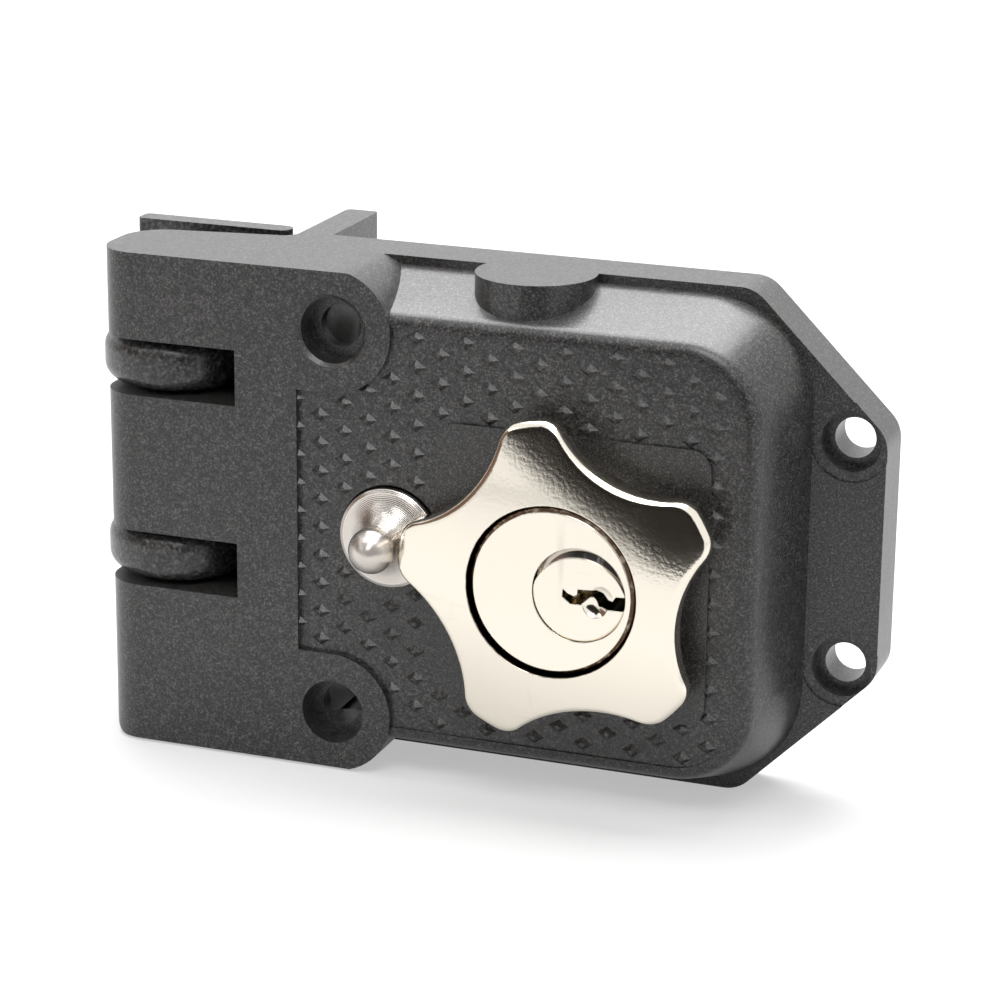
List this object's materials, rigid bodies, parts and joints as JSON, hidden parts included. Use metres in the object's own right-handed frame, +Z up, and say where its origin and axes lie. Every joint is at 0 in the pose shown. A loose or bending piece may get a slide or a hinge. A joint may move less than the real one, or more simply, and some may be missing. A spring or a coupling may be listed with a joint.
{
  "type": "surface gate lock with interlocking strike",
  "caption": "Flat gate lock whose slotted knuckle block takes the eyes of a strike, with a star-shaped thumbturn round a key cylinder and a push button.",
  "frame": {"origin": "where the thumbturn's axis meets the case's rear mounting face", "axes": "+X towards the flange end, away from the strike; +Y out of the rear face, into the gate; +Z up, the way the bolt pins are thrown"},
  "size_m": [0.1203, 0.0502, 0.0766],
  "materials": {
    "black_coat": "matt black coat on a cast surface",
    "black_cast": "satin black coat on a rough casting",
    "nickel_plate": "bright nickel plate with fine scratches",
    "nickel_face": "bright nickel plate",
    "hard_steel": "polished hard steel",
    "turned_steel": "turned steel with fine rings",
    "bright_steel": "ground steel",
    "zinc_steel": "clear zinc plate",
    "brass_parts": "plain brass"
  },
  "bodies": {
    "case": {"case": "black_coat", "back_plate": "zinc_steel", "back_plate_screws": "zinc_steel", "guide_stud": "bright_steel", "carriage_stop": "zinc_steel", "button_detent_ring": "bright_steel"},
    "bolt": {"bolt_carriage": "zinc_steel", "bolt_pins": "bright_steel"},
    "thumbturn": {"star_knob": "nickel_plate", "crank_hub": "bright_steel", "hub_screws": "zinc_steel", "crank_roller": "bright_steel", "friction_washer": "bright_steel", "cylinder_body": "nickel_face", "cylinder_set_screw": "zinc_steel", "driver_pins": "brass_parts", "pin_springs": "bright_steel", "chamber_cover": "brass_parts"},
    "plug": {"cylinder_plug": "nickel_face", "plug_insert": "hard_steel", "key_pins": "brass_parts", "plug_cam": "bright_steel", "cam_screws": "zinc_steel"},
    "dog": {"locking_dog": "bright_steel"},
    "button": {"holdback_button": "turned_steel", "button_stem": "turned_steel", "button_clip": "bright_steel"},
    "strike": {"strike": "black_cast"}
  },
  "joints": [
    {"name": "thumbturn_turn", "type": "hinge", "parent": "case", "child": "thumbturn", "pos_m": [0, -0.02, 0], "axis": [0, 1, 0], "range_deg": [0, 90]},
    {"name": "bolt_slide", "type": "slide", "parent": "case", "child": "bolt", "axis": [0, 0, 1], "range_m": [0, 0.016]},
    {"name": "plug_turn", "type": "hinge", "parent": "thumbturn", "child": "plug", "pos_m": [0.0041, -0.02, 0], "axis": [0, 1, 0], "range_deg": [0, 90]},
    {"name": "dog_slide", "type": "slide", "parent": "thumbturn", "child": "dog", "axis": [1, 0, 0], "range_m": [0, 0.00311]},
    {"name": "button_push", "type": "slide", "parent": "case", "child": "button", "axis": [0, 1, 0], "range_m": [0, 0.0035]},
    {"name": "strike_release", "type": "slide", "parent": "case", "child": "strike", "axis": [0, 1, 0], "range_m": [0, 0.03]}
  ],
  "couplings": [
    {"joint": "bolt_slide", "follows": "thumbturn_turn", "m_per_rad": 0.010186},
    {"joint": "dog_slide", "follows": "plug_turn", "m_per_rad": 0.0019807}
  ]
}
